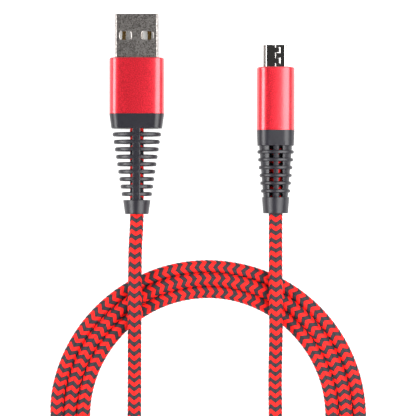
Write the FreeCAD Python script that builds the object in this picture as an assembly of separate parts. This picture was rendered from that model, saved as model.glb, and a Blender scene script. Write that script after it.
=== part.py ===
import FreeCAD, Part
import math
import os

# Braided charging cable with a wide host plug and a small phone plug.
# Millimetres. +Z is up and the cable lies on z = 0. Both plugs point along +Y, and the
# origin is under the middle of the two plugs, on the surface that they lie on.

Vector = FreeCAD.Vector

# ---- layout ----
plug_spacing = 38.23           # between the two plugs' centre lines
phone_exit_step = 0.2          # the phone boot ends this much ahead of the host boot

# ---- cord ----
cord_d = 3.9
table_gap = 0.05               # air under a cord that lies on the surface
wire_d = 0.5                   # an insulated wire inside the cord
wire_pitch = 0.6               # between wires where they leave the cord, side by side
wire_lead_share = 0.2          # of a wire's length is straight at each of its ends

# ---- coil: three turns side by side ----
coil_x = 1.6
coil_y = -83.7
coil_inner_r = 32.4
coil_outer_r = 44.0
coil_height = 4.6
coil_corner_r = 1.8

# ---- host plug ----
host_shell_w = 12.0
host_shell_h = 4.5
host_shell_wall = 0.3
host_shell_corner_r = 0.6
host_shell_out = 12.0          # length ahead of the sleeve
host_shell_in = 5.7            # length held inside the sleeve
host_window_w = 3.15
host_window_l = 2.3
host_window_x = 3.02
host_window_back = 5.98        # from the tip to the window's middle
host_window_corner_r = 0.4
host_seam_key = 0.8            # step of the seam on the lower face
host_sleeve_w = 15.1
host_sleeve_h = 7.8
host_sleeve_l = 15.42
host_sleeve_corner_r = 2.6
host_tongue_back = 0.4         # from the shell's tip to the tongue
host_tongue_top = -0.05        # from the plug's centre line
host_cavity_l = 11.4
host_pad_w = 1.0
host_pad_t = 0.25
host_pad_inner_x = 1.0
host_pad_outer_x = 3.5
host_pad_outer_back = 1.3      # the power and ground pads meet their partners first
host_pad_inner_back = 2.3

host_block_l = 4.0
host_block_w_back = 13.9
host_block_h_back = 7.5
host_rib_count = 9
host_rib_pitch = 2.05
host_rib_t = 1.1
host_rib_w_front = 13.35
host_rib_w_back = 8.4
host_rib_h_front = 7.5
host_rib_h_back = 7.1
host_rib_gap = 1.08            # between the ribs and the block, and the ribs and the collar
spine_overlap = 1.0            # the spine's ends run into the collar and the block
host_spine_w = 2.15
host_spine_sink = 0.12         # below the ribs' crowns
host_collar_l = 3.9
host_collar_d_front = 7.6
host_collar_d_back = 6.5

# ---- phone plug ----
phone_shell_w = 6.85
phone_shell_h = 1.8
phone_shell_flat = 5.0         # width of the narrow face
phone_shell_side = 1.0         # height of the upright sides
phone_shell_wall = 0.25
phone_shell_out = 6.2
phone_shell_in = 5.0
phone_shell_corner_r = 0.3
phone_sleeve_w = 10.45
phone_sleeve_h = 7.8
phone_sleeve_l = 17.35
phone_sleeve_corner_r = 3.2
phone_tab_w = 1.1              # square tabs of the seam
phone_tab_l = 1.64
phone_tab_starts = (0.65, 3.6)  # from the shell's tip to each tab
phone_insulator_back = 0.35
phone_slot_w = 3.4             # for the tongue of the socket
phone_slot_bottom = -0.4
phone_slot_top = 0.24
phone_slot_depth = 5.2
phone_contact_count = 5
phone_contact_pitch = 0.65
phone_contact_w = 0.35
phone_contact_t = 0.12
phone_contact_l = 8.0
phone_contact_back = 0.9       # from the shell's tip to the contact's tip
phone_contact_z = 0.26
phone_bump_l = 0.8
phone_bump_drop = 0.16
phone_bump_back = 0.5
phone_bump_bevel = 0.1
phone_groove_top = 0.6
phone_groove_side_gap = 0.05
phone_latch_x = 2.2
phone_latch_w = 0.6
phone_latch_t = 0.2
phone_latch_l = 8.6
phone_latch_back = 1.0         # from the shell's tip to the latch arm's tip
phone_latch_lift = 0.03        # air between the latch arm and the shell
phone_hook_out = 0.33          # below the shell
phone_hook_l = 1.1
phone_latch_side_gap = 0.1
phone_hook_rise = 0.15         # length of the hook's steep back face
phone_hook_flat = 0.25         # length of the hook's flat tip
phone_latch_room = 0.02        # top of the latch's channel, from the plug's centre line

phone_block_l = 4.26
phone_block_w_back = 9.9
phone_block_h_back = 7.5
phone_rib_count = 6
phone_rib_pitch = 2.15
phone_rib_t = 0.95
phone_rib_w_front = 10.1
phone_rib_w_back = 8.1
phone_rib_h_front = 7.5
phone_rib_h_back = 7.2
phone_rib_gap = 1.2
phone_core_w_front = 9.2
phone_core_w_back = 6.6
phone_core_h_front = 6.6
phone_core_h_back = 6.0
phone_post_w = 1.35
phone_window_w = 1.25
phone_collar_l = 4.5
phone_collar_d_front = 7.6
phone_collar_d_back = 6.9

# ---- shared by both plugs ----
sleeve_wall = 0.7
sleeve_edge = 0.2              # bevel on the sleeve's two rims
boot_edge = 0.25               # rounding of the ribs
boot_inset = 0.03              # the boot's block stays inside the sleeve's outline
tenon_l = 1.6                  # the boot's end that sits inside the sleeve
mould_recess = 0.3             # from the sleeve's front rim to the inner mould
crimp_wall = 0.25
crimp_l = 2.6
crimp_gap = 0.2
cord_past_crimp = 0.2
chamber_h = 4.6                # the mould's chamber round the crimp and wires
tail_l = 1.7                   # contact tails behind the insulator
solder_l = 0.5
solder_w = 0.34
solder_h = 0.3
tail_gap = 0.3                 # from the solder to the insulator
seam_w = 0.06

# ---- worked out ----
plugs_w = plug_spacing + (host_sleeve_w + phone_sleeve_w) / 2
host_x = (host_sleeve_w - plugs_w) / 2
phone_x = (plugs_w - phone_sleeve_w) / 2
host_z = host_sleeve_h / 2
phone_z = phone_sleeve_h / 2
cord_r = cord_d / 2
cord_z = cord_r + table_gap

host_ribs_l = (host_rib_count - 1) * host_rib_pitch + host_rib_t
host_boot_l = host_collar_l + host_ribs_l + 2 * host_rib_gap + host_block_l
host_sleeve_front = host_boot_l + host_sleeve_l
host_tip = host_sleeve_front + host_shell_out
host_shell_rear = host_sleeve_front - host_shell_in
host_exit_y = -host_tip / 2

phone_ribs_l = (phone_rib_count - 1) * phone_rib_pitch + phone_rib_t
phone_boot_l = phone_collar_l + phone_ribs_l + 2 * phone_rib_gap + phone_block_l
phone_sleeve_front = phone_boot_l + phone_sleeve_l
phone_tip = phone_sleeve_front + phone_shell_out
phone_shell_rear = phone_sleeve_front - phone_shell_in
phone_exit_y = host_exit_y + phone_exit_step

cord_end_past_boot = tenon_l + crimp_gap + crimp_l + cord_past_crimp


# ---- helpers. A plug is drawn along +Y from the cord's exit, with its centre line on x = z = 0 ----
def block(x, y, z):
    """A box between two values on each axis."""
    return Part.makeBox(x[1] - x[0], y[1] - y[0], z[1] - z[0], Vector(x[0], y[0], z[0]))


def bar(outline, corner_r, y_start, y_end):
    """A bar along Y with the outline (x, z), its long edges rounded."""
    points = [Vector(x, y_start, z) for x, z in outline]
    solid = Part.Face(Part.makePolygon(points + points[:1])).extrude(Vector(0, y_end - y_start, 0))
    long_edges = [e for e in solid.Edges if abs(e.tangentAt(e.FirstParameter).y) > 0.99]
    return solid.makeFillet(corner_r, long_edges) if corner_r > 0 else solid


def rectangle(width, height):
    """The four corners of an outline round the centre line."""
    w = width / 2
    h = height / 2
    return [(-w, -h), (w, -h), (w, h), (-w, h)]


def rim_edges(solid, *levels):
    """The edges that lie flat at one of the levels of y."""
    found = []
    for edge in solid.Edges:
        box = edge.BoundBox
        if box.YLength < 1e-6 and any(abs(box.YMin - y) < 1e-6 for y in levels):
            found.append(edge)
    return found


def ellipse_wire(width, height, y):
    """An upright ellipse across the centre line."""
    wide = Part.Ellipse(Vector(width / 2, y, 0), Vector(0, y, height / 2), Vector(0, y, 0))
    return Part.Wire(wide.toShape())


def disc(width, height, y_start, thickness):
    """A flat elliptical rib with rounded rims."""
    face = Part.Face(ellipse_wire(width, height, y_start))
    solid = face.extrude(Vector(0, thickness, 0))
    return solid.makeFillet(boot_edge, rim_edges(solid, y_start, y_start + thickness))


def cone(d_start, d_end, y_start, y_end):
    """A round collar along Y."""
    return Part.makeCone(d_start / 2, d_end / 2, y_end - y_start, Vector(0, y_start, 0), Vector(0, 1, 0))


def rod(diameter, y_start, y_end):
    """A round rod along Y on the centre line."""
    return Part.makeCylinder(diameter / 2, y_end - y_start, Vector(0, y_start, 0), Vector(0, 1, 0))


def between(first, last, share):
    """The value a share of the way from first to last."""
    return first + (last - first) * share


def wedge_block(outline_back, outline_front, y_back, y_front):
    """A block that tapers between two outlines."""
    wires = []
    for outline, y in ((outline_back, y_back), (outline_front, y_front)):
        points = [Vector(x, y, z) for x, z in outline]
        wires.append(Part.makePolygon(points + points[:1]))
    return Part.makeLoft(wires, True, True)


def path_with_arcs(points):
    """Straight runs joined by tangent arcs, and the arcs' radii."""
    edges = []
    radii = []
    start = points[0]
    for before, corner, after in zip(points, points[1:], points[2:]):
        back = before - corner
        ahead = after - corner
        reach = 0.45 * min(back.Length, ahead.Length)
        back.normalize()
        ahead.normalize()
        half_turn = (math.pi - back.getAngle(ahead)) / 2
        radius = reach / math.tan(half_turn)
        inward = back + ahead
        inward.normalize()
        middle = corner + inward * (radius / math.cos(half_turn) - radius)
        arc_start = corner + back * reach
        arc_end = corner + ahead * reach
        edges.append(Part.LineSegment(start, arc_start).toShape())
        edges.append(Part.Arc(arc_start, middle, arc_end).toShape())
        radii.append(radius)
        start = arc_end
    edges.append(Part.LineSegment(start, points[-1]).toShape())
    return Part.Wire(edges), radii


def tube(points, diameter):
    """A round tube along a route, with its path and its arcs' radii."""
    path, radii = path_with_arcs(points)
    heading = points[1] - points[0]
    section = Part.Wire(Part.Circle(points[0], heading, diameter / 2).toShape())
    return path.makePipeShell([section], True, False), path, radii


def seam_cutter(points, z):
    """A narrow slot along a line of points (x, y), through the wall between two heights."""
    half = seam_w / 2
    cutters = []
    for (xa, ya), (xb, yb) in zip(points, points[1:]):
        x = (min(xa, xb) - half, max(xa, xb) + half)
        y = (min(ya, yb) - half, max(ya, yb) + half)
        cutters.append(block(x, y, z))
    return cutters[0].fuse(cutters[1:])


def joined(pieces):
    """One solid from pieces that overlap."""
    return pieces[0].fuse(pieces[1:])


# ---- host plug ----
def host_shell():
    """The drawn metal shell with its two windows on each wide face and a keyed seam below."""
    outer = bar(rectangle(host_shell_w, host_shell_h), host_shell_corner_r, host_shell_rear, host_tip)
    shell = outer.cut(host_shell_space(host_shell_rear, host_tip))
    window_y = host_tip - host_window_back
    for side in (-1, 1):
        shell = shell.cut(window(side * host_window_x, window_y))
    key = host_seam_key
    seam = [(0, host_shell_rear), (0, window_y - 4 * key), (key, window_y - 4 * key)]
    seam += [(key, window_y - 2 * key), (0, window_y - 2 * key), (0, host_tip + seam_w)]
    return shell.cut(seam_cutter(seam, (-host_shell_h, -host_shell_h / 4)))


def host_shell_space(y_start, y_end):
    """The inside of the host shell."""
    width = host_shell_w - 2 * host_shell_wall
    height = host_shell_h - 2 * host_shell_wall
    return bar(rectangle(width, height), host_shell_corner_r - host_shell_wall, y_start, y_end)


def window(x, y):
    """A cutter for the windows at one side, through both wide faces."""
    w = host_window_w / 2
    l = host_window_l / 2
    cutter = block((x - w, x + w), (y - l, y + l), (-host_shell_h, host_shell_h))
    upright = [e for e in cutter.Edges if abs(e.tangentAt(e.FirstParameter).z) > 0.99]
    return cutter.makeFillet(host_window_corner_r, upright)


def host_pads():
    """Each flat contact's name and solid, from the tongue's front to its tail."""
    places = {
        "host_contact_power": (-host_pad_outer_x, host_pad_outer_back),
        "host_contact_data_minus": (-host_pad_inner_x, host_pad_inner_back),
        "host_contact_data_plus": (host_pad_inner_x, host_pad_inner_back),
        "host_contact_ground": (host_pad_outer_x, host_pad_outer_back),
    }
    pads = {}
    for name, (x, back) in places.items():
        w = host_pad_w / 2
        y = (host_shell_rear - tail_l, host_tip - back)
        pads[name] = block((x - w, x + w), y, (-host_pad_t, 0))
    return pads


def host_insulator(pads):
    """The white block and its tongue, which carries the contacts below the open cavity."""
    body = host_shell_space(host_shell_rear, host_tip - host_tongue_back)
    w = host_shell_w
    cavity_start = host_tip - host_cavity_l
    cavity = block((-w, w), (cavity_start, host_tip), (host_tongue_top, host_shell_h))
    return body.cut(cavity).cut(Part.makeCompound(list(pads.values())))


def sleeve(width, height, corner_r, y_start, length):
    """The aluminium sleeve, an open tube with beveled rims."""
    y_end = y_start + length
    outer = bar(rectangle(width, height), corner_r, y_start, y_end)
    outer = outer.makeChamfer(sleeve_edge, rim_edges(outer, y_start, y_end))
    inner = rectangle(width - 2 * sleeve_wall, height - 2 * sleeve_wall)
    return outer.cut(bar(inner, corner_r - sleeve_wall, y_start, y_end))


def sleeve_filler(width, height, corner_r, y_start, y_end):
    """What fills the sleeve between two values of y."""
    inner = rectangle(width - 2 * sleeve_wall, height - 2 * sleeve_wall)
    return bar(inner, corner_r - sleeve_wall, y_start, y_end)


def host_inner_mould():
    """The plastic liner between the shell and the sleeve, with the wires' chamber behind."""
    start = host_boot_l + tenon_l
    end = host_sleeve_front - mould_recess
    liner = sleeve_filler(host_sleeve_w, host_sleeve_h, host_sleeve_corner_r, start, end)
    liner = liner.cut(bar(rectangle(host_shell_w, host_shell_h), host_shell_corner_r, host_shell_rear, end))
    chamber = rectangle(host_shell_w - 2 * host_shell_wall, chamber_h)
    return liner.cut(bar(chamber, 0, start, host_shell_rear))


def boot_block(width, height, corner_r, size_back, y_start, y_end):
    """The boot's solid end, which meets the sleeve, with the tenon inside the sleeve."""
    front = rectangle(width - 2 * boot_inset, height - 2 * boot_inset)
    body = wedge_block(rectangle(*size_back), front, y_start, y_end)
    tapered = [e for e in body.Edges if e.BoundBox.YLength > 0.5 * (y_end - y_start)]
    body = body.makeFillet(corner_r, tapered)
    return body.fuse(sleeve_filler(width, height, corner_r, y_end, y_end + tenon_l))


def ribs(count, pitch, thickness, first_y, sizes_back, sizes_front):
    """Ribs that grow from the collar towards the plug."""
    made = []
    for i in range(count):
        share = i / (count - 1)
        width = between(sizes_back[0], sizes_front[0], share)
        height = between(sizes_back[1], sizes_front[1], share)
        made.append(disc(width, height, first_y + i * pitch, thickness))
    return made


def host_boot():
    """The strain relief: a block, open ribs on a top and a bottom spine, and a collar."""
    ribs_start = host_collar_l + host_rib_gap
    block_start = host_boot_l - host_block_l
    size_back = (host_rib_w_back, host_rib_h_back)
    size_front = (host_rib_w_front, host_rib_h_front)
    pieces = ribs(host_rib_count, host_rib_pitch, host_rib_t, ribs_start, size_back, size_front)
    block_back = (host_block_w_back, host_block_h_back)
    corner_r = host_sleeve_corner_r
    pieces.append(boot_block(host_sleeve_w, host_sleeve_h, corner_r, block_back, block_start, host_boot_l))
    pieces.append(cone(host_collar_d_back, host_collar_d_front, 0, host_collar_l))
    spine_back = rectangle(host_spine_w, host_rib_h_back - 2 * host_spine_sink)
    spine_front = rectangle(host_spine_w, host_rib_h_front - 2 * host_spine_sink)
    spine_y = (host_collar_l - spine_overlap, block_start + spine_overlap)
    pieces.append(wedge_block(spine_back, spine_front, *spine_y))
    return joined(pieces).cut(rod(cord_d, 0, host_boot_l + tenon_l))


# ---- phone plug ----
def phone_outline(inset):
    """The shell's outline with its two slanted upper corners, moved inwards."""
    w = phone_shell_w / 2 - inset
    h = phone_shell_h / 2 - inset
    rise = phone_shell_h - phone_shell_side
    run = (phone_shell_w - phone_shell_flat) / 2
    slant = math.hypot(rise, run)
    side_top = -phone_shell_h / 2 + phone_shell_side + inset * (rise - slant) / run
    flat = phone_shell_flat / 2 - inset * (slant - run) / rise
    return [(-w, -h), (w, -h), (w, side_top), (flat, h), (-flat, h), (-w, side_top)]


def phone_shell():
    """The small shell: a seam with two square tabs on the narrow face, hook windows on the wide one."""
    outer = bar(phone_outline(0), phone_shell_corner_r, phone_shell_rear, phone_tip)
    inner = bar(phone_outline(phone_shell_wall), 0, phone_shell_rear, phone_tip)
    shell = outer.cut(inner)
    seam = [(0, phone_tip + seam_w)]
    for tab_start in phone_tab_starts:
        y_near = phone_tip - tab_start
        y_far = y_near - phone_tab_l
        seam += [(0, y_near), (phone_tab_w, y_near), (phone_tab_w, y_far), (0, y_far)]
    seam.append((0, phone_shell_rear))
    shell = shell.cut(seam_cutter(seam, (0, phone_shell_h)))
    for side in (-1, 1):
        shell = shell.cut(hook_window(side * phone_latch_x))
    return shell


def hook_y():
    """The middle of the latch hooks."""
    return phone_tip - phone_latch_back - phone_hook_l / 2


def hook_window(x):
    """A cutter for the hook's window in the wide face."""
    w = phone_latch_w / 2 + phone_latch_side_gap
    l = phone_hook_l / 2 + 2 * phone_latch_side_gap
    return block((x - w, x + w), (hook_y() - l, hook_y() + l), (-phone_shell_h, 0))


def phone_contacts():
    """Each spring contact's name and solid: a straight beam with a bump near its tip, and a tail."""
    names = ("power", "data_minus", "data_plus", "id", "ground")
    beam_front = phone_tip - phone_contact_back
    bump_front = beam_front - phone_bump_back
    made = {}
    for name, x in zip(names, phone_contact_xs()):
        side = (x - phone_contact_w / 2, x + phone_contact_w / 2)
        z = (phone_contact_z, phone_contact_z + phone_contact_t)
        beam = block(side, (phone_contact_root(), beam_front), z)
        bump_z = (phone_contact_z - phone_bump_drop, phone_contact_z)
        bump = block(side, (bump_front - phone_bump_l, bump_front), bump_z)
        low = [e for e in bump.Edges if abs(e.BoundBox.ZMax - bump_z[0]) < 1e-6 and is_across(e)]
        made["phone_contact_" + name] = beam.fuse(bump.makeChamfer(phone_bump_bevel, low)).removeSplitter()
    return made


def is_across(edge):
    """True for an edge that runs along X."""
    return abs(edge.tangentAt(edge.FirstParameter).x) > 0.99


def phone_contact_xs():
    """Where each contact lies across the plug."""
    middle = (phone_contact_count - 1) / 2
    return [(i - middle) * phone_contact_pitch for i in range(phone_contact_count)]


def phone_contact_root():
    """Where the contacts leave the insulator's solid part."""
    return phone_tip - phone_contact_back - phone_contact_l


def phone_tails():
    """The contacts' fixed feet: they run on from the springs through the block to the wires."""
    feet = []
    for x in phone_contact_xs():
        side = (x - phone_contact_w / 2, x + phone_contact_w / 2)
        z = (phone_contact_z, phone_contact_z + phone_contact_t)
        feet.append(block(side, (phone_shell_rear - tail_l, phone_contact_root()), z))
    return feet


def phone_latches():
    """The two spring latches, each an arm with a hook that stands out of the wide face."""
    floor = -phone_shell_h / 2 + phone_shell_wall
    arm_front = phone_tip - phone_latch_back
    made = {}
    for name, side in (("phone_latch_left", -1), ("phone_latch_right", 1)):
        x = side * phone_latch_x
        w = (x - phone_latch_w / 2, x + phone_latch_w / 2)
        z = floor + phone_latch_lift
        arm = block(w, (phone_latch_root(), arm_front), (z, z + phone_latch_t))
        reach = -phone_shell_h / 2 - phone_hook_out
        back = arm_front - phone_hook_l
        tip_back = back + phone_hook_rise
        tip_front = tip_back + phone_hook_flat
        profile = [(back, z), (tip_back, reach), (tip_front, reach), (arm_front, z)]
        points = [Vector(w[0], y, height) for y, height in profile]
        hook = Part.Face(Part.makePolygon(points + points[:1])).extrude(Vector(phone_latch_w, 0, 0))
        made[name] = arm.fuse(hook).removeSplitter()
    return made


def phone_latch_root():
    """Where the latch arms leave the insulator's solid part."""
    return phone_tip - phone_latch_back - phone_latch_l


def phone_insulator(feet):
    """The black block inside the small shell, with room for the springs to move."""
    front = phone_tip - phone_insulator_back
    body = bar(phone_outline(phone_shell_wall), 0, phone_shell_rear, front)
    w = phone_slot_w / 2
    slot_y = (front - phone_slot_depth, phone_tip)
    body = body.cut(block((-w, w), slot_y, (phone_slot_bottom, phone_slot_top)))
    groove_w = phone_contact_w / 2 + phone_groove_side_gap
    groove_z = (phone_slot_bottom, phone_groove_top)
    for x in phone_contact_xs():
        body = body.cut(block((x - groove_w, x + groove_w), (phone_contact_root(), phone_tip), groove_z))
    channel_w = phone_latch_w / 2 + phone_latch_side_gap
    for side in (-1, 1):
        x = side * phone_latch_x
        channel_y = (phone_latch_root(), phone_tip)
        channel = block((x - channel_w, x + channel_w), channel_y, (-phone_shell_h, phone_latch_room))
        body = body.cut(channel)
    return body.cut(Part.makeCompound(feet))


def phone_inner_mould():
    """The liner between the small shell and its sleeve, with the wires' chamber behind."""
    start = phone_boot_l + tenon_l
    end = phone_sleeve_front - mould_recess
    liner = sleeve_filler(phone_sleeve_w, phone_sleeve_h, phone_sleeve_corner_r, start, end)
    liner = liner.cut(bar(phone_outline(0), phone_shell_corner_r, phone_shell_rear, end))
    return liner.cut(bar(rectangle(phone_shell_w, chamber_h), 0, start, phone_shell_rear))


def phone_boot():
    """The small strain relief: a windowed core with ribs, a block and a collar."""
    ribs_start = phone_collar_l + phone_rib_gap
    block_start = phone_boot_l - phone_block_l
    size_back = (phone_rib_w_back, phone_rib_h_back)
    size_front = (phone_rib_w_front, phone_rib_h_front)
    made_ribs = ribs(phone_rib_count, phone_rib_pitch, phone_rib_t, ribs_start, size_back, size_front)
    wires = [
        ellipse_wire(phone_core_w_back, phone_core_h_back, phone_collar_l),
        ellipse_wire(phone_core_w_front, phone_core_h_front, block_start),
    ]
    core = Part.makeLoft(wires, True, True)
    inner = phone_post_w / 2
    outer = inner + phone_window_w
    tall = phone_core_h_front
    for i in range(phone_rib_count + 1):
        y = phone_collar_l + i * phone_rib_pitch
        for x in ((-outer, -inner), (inner, outer)):
            core = core.cut(block(x, (y, y + phone_rib_gap), (-tall, tall)))
    block_back = (phone_block_w_back, phone_block_h_back)
    corner_r = phone_sleeve_corner_r
    base = boot_block(phone_sleeve_w, phone_sleeve_h, corner_r, block_back, block_start, phone_boot_l)
    collar = cone(phone_collar_d_back, phone_collar_d_front, 0, phone_collar_l)
    return joined([core, base, collar] + made_ribs).cut(rod(cord_d, 0, phone_boot_l + tenon_l))


# ---- inside both plugs ----
def crimp(boot_length):
    """The metal band that grips the cord inside the sleeve."""
    start = boot_length + tenon_l + crimp_gap
    return rod(cord_d + 2 * crimp_wall, start, start + crimp_l).cut(rod(cord_d, start, start + crimp_l))


def wires_to_tails(boot_length, insulator_rear, tail_places, tail_top):
    """The four wires from the cord's end to the contact tails, and the solder at their ends."""
    start = boot_length + cord_end_past_boot
    end = insulator_rear - tail_gap - solder_l
    height = tail_top + wire_d / 2
    wire_lead = wire_lead_share * (end - start)
    colours = ("red", "white", "green", "black")
    wires = {}
    beads = []
    for i, (colour, tail_x) in enumerate(zip(colours, tail_places)):
        x = (i - (len(colours) - 1) / 2) * wire_pitch
        route = [Vector(x, start, height), Vector(x, start + wire_lead, height)]
        route += [Vector(tail_x, end - wire_lead, height), Vector(tail_x, end, height)]
        wires[colour] = tube(route, wire_d)[0]
        side = (tail_x - solder_w / 2, tail_x + solder_w / 2)
        beads.append(block(side, (end, end + solder_l), (tail_top, tail_top + solder_h)))
    return wires, Part.makeCompound(beads)


def host_plug_nodes():
    """Every node of the host plug, in the plug's own frame."""
    pads = host_pads()
    tails = [-host_pad_outer_x, -host_pad_inner_x, host_pad_inner_x, host_pad_outer_x]
    wires, solder = wires_to_tails(host_boot_l, host_shell_rear, tails, 0)
    nodes = {
        "host_shell": host_shell(),
        "host_insulator": host_insulator(pads),
        "host_inner_mould": host_inner_mould(),
        "host_sleeve": sleeve(host_sleeve_w, host_sleeve_h, host_sleeve_corner_r, host_boot_l, host_sleeve_l),
        "host_boot": host_boot(),
        "host_crimp": crimp(host_boot_l),
        "host_solder": solder,
        "cord_end_host": rod(cord_d, 0, host_boot_l + cord_end_past_boot),
    }
    nodes.update(pads)
    nodes.update({"host_wire_" + colour: wire for colour, wire in wires.items()})
    return nodes


def phone_plug_nodes():
    """Every node of the phone plug, in the plug's own frame."""
    feet = phone_tails()
    springs = phone_contacts()
    pitch = phone_contact_pitch
    tail_top = phone_contact_z + phone_contact_t
    tails = [-2 * pitch, -pitch, 0, 2 * pitch]
    wires, solder = wires_to_tails(phone_boot_l, phone_shell_rear, tails, tail_top)
    sleeve_size = (phone_sleeve_w, phone_sleeve_h, phone_sleeve_corner_r)
    nodes = {
        "phone_shell": phone_shell(),
        "phone_insulator": phone_insulator(feet),
        "phone_contact_feet": Part.makeCompound(feet),
        "phone_inner_mould": phone_inner_mould(),
        "phone_sleeve": sleeve(*sleeve_size, phone_boot_l, phone_sleeve_l),
        "phone_boot": phone_boot(),
        "phone_crimp": crimp(phone_boot_l),
        "phone_solder": solder,
        "cord_end_phone": rod(cord_d, 0, phone_boot_l + cord_end_past_boot),
    }
    nodes.update(springs)
    nodes.update(phone_latches())
    nodes.update({"phone_wire_" + colour: wire for colour, wire in wires.items()})
    return nodes


# ---- the cord between the plugs ----
hump_z = 7.0                   # over the coil's three turns
crossing_z = 6.1               # over one layer of the coil

# From the host boot down the middle, over the coil, round inside it and into its inner turn.
host_lead_route = [
    (host_x, host_exit_y, host_z),
    (host_x, -34.6, host_z),
    (-18.4, -43.4, hump_z),
    (-18.8, -60.6, hump_z),
    (-18.65, -75.5, 2.3),
    (-18.8, -91.0, cord_z),
    (-16.9, -102.0, cord_z),
    (-9.9, -111.9, cord_z),
    (1.1, -117.4, cord_z),
    (13.0, -116.9, cord_z),
    (21.5, -111.8, cord_z),
]

# From the coil's outer turn, over the other turns, round inside the coil and up to the phone boot.
phone_lead_route = [
    (-34.5, -105.5, 3.7),
    (-27.0, -115.3, 5.7),
    (-13.8, -121.3, crossing_z),
    (0.9, -120.0, crossing_z),
    (13.2, -112.0, 5.95),
    (20.2, -99.0, 2.2),
    (20.35, -85.0, cord_z),
    (20.15, -72.5, 2.4),
    (20.3, -59.8, hump_z),
    (20.15, -42.9, hump_z),
    (phone_x, -34.4, phone_z),
    (phone_x, phone_exit_y, phone_z),
]


def coil():
    """The three turns' outer shape, a ring with a rounded section."""
    width = coil_outer_r - coil_inner_r
    outline = bar(rectangle(width, coil_height), coil_corner_r, 0, 1)
    section = [f for f in outline.Faces if abs(f.CenterOfMass.y) < 1e-6][0]
    section.translate(Vector(coil_x + (coil_inner_r + coil_outer_r) / 2, coil_y, coil_height / 2))
    return section.revolve(Vector(coil_x, coil_y, 0), Vector(0, 0, 1), 360)


def lead(name, route):
    """A lead's tube, with its figures printed."""
    solid, path, radii = tube([Vector(*point) for point in route], cord_d)
    expected = math.pi * cord_r ** 2 * path.Length
    print(name, "arc radii", [round(r, 1) for r in radii])
    print(name, "length", round(path.Length, 1), "volume ratio", round(solid.Volume / expected, 4))
    return solid


def cord_nodes():
    """The free cord: two leads and the coil."""
    return {
        "cord_lead_host": lead("cord_lead_host", host_lead_route),
        "cord_coil": coil(),
        "cord_lead_phone": lead("cord_lead_phone", phone_lead_route),
    }


def placed(nodes, x, y, z):
    """The nodes moved from a plug's own frame to the cable's."""
    for shape in nodes.values():
        shape.translate(Vector(x, y, z))
    return nodes


def main():
    os.makedirs("parts", exist_ok=True)
    nodes = placed(host_plug_nodes(), host_x, host_exit_y, host_z)
    nodes.update(placed(phone_plug_nodes(), phone_x, phone_exit_y, phone_z))
    nodes.update(cord_nodes())
    for name, shape in nodes.items():
        shape.exportStep("parts/" + name + ".step")
        if not shape.isValid():
            print(name, "isn't valid")
    print(len(nodes), "nodes")
    host_bend_y = host_exit_y + host_collar_l + host_rib_gap + host_ribs_l / 2
    phone_bend_y = phone_exit_y + phone_collar_l + phone_rib_gap + phone_ribs_l / 2
    print("host boot bends at", round(host_x, 3), round(host_bend_y, 3), round(host_z, 3))
    print("phone boot bends at", round(phone_x, 3), round(phone_bend_y, 3), round(phone_z, 3))
    print("springs turn at y", round(phone_exit_y + phone_contact_root(), 3))
    print("latches turn at y", round(phone_exit_y + phone_latch_root(), 3))
    print("tips at y", round(host_exit_y + host_tip, 3), round(phone_exit_y + phone_tip, 3))


main()
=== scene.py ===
# %% [markdown]
# A braided charging cable has a stiff plug at each end, a ribbed rubber boot behind each plug,
# and a metre of cord in a tube of red and black yarn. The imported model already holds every
# piece at its true place. This lesson keeps that frame and gives each piece its finish, and
# models the soft and the shiny pieces again where a plain solid doesn't look like the real one.

# %% Load the frame
import math

import bmesh
import bpy
import numpy as np
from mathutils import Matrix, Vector


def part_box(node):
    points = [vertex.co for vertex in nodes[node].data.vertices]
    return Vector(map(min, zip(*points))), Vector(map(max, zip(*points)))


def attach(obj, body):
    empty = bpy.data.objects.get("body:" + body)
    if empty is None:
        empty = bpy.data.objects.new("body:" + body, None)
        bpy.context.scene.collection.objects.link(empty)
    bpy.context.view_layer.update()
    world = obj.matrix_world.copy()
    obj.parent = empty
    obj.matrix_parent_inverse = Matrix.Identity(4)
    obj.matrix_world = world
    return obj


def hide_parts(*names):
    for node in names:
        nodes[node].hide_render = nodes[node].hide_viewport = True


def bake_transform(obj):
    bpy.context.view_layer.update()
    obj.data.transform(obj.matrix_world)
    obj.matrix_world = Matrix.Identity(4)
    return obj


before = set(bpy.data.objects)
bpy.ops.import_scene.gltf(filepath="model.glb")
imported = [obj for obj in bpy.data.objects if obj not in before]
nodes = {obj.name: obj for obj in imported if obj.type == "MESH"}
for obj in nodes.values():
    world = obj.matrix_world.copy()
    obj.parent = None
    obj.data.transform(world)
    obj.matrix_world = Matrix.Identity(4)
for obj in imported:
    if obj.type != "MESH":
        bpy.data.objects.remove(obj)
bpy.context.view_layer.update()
MM = 0.001

# %% [markdown]
# The cable is seen from straight above, as a packshot on a table. A long lens far away keeps
# the two plugs from leaning outwards. The lens could be moved close with a wide angle, but
# then the sides of the sleeves would show more than the tops.

# %% Camera
LOOK_AT = Vector((1.65, -25.8, 0.0)) * MM
CAMERA_HEIGHT = 475 * MM

camera_data = bpy.data.cameras.new("packshot_camera")
camera_data.lens = 148
camera_data.sensor_width = 36
camera_data.clip_start = 0.01
camera = bpy.data.objects.new("packshot_camera", camera_data)
camera.location = LOOK_AT + Vector((0, 0, CAMERA_HEIGHT))
bpy.context.scene.collection.objects.link(camera)
bpy.context.scene.camera = camera
print("camera", round(CAMERA_HEIGHT / MM), "mm above the table")

# %% [markdown]
# The cord leaves the wide plug, passes over the coil, turns round inside it, runs three times
# round and comes back up to the small plug. One smooth spline follows all of that. The leads
# are listed points. The turns are worked out in a loop, because each lies beside the
# last: the middle turn rides up a little where the three are squeezed together at the top.

# %% The route of the two leads, in millimetres
CORD_DIAMETER = 3.9 * MM
CORD_RADIUS = CORD_DIAMETER / 2
LYING = 2.0
HUMP = 7.0
CROSSING = 6.1

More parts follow.
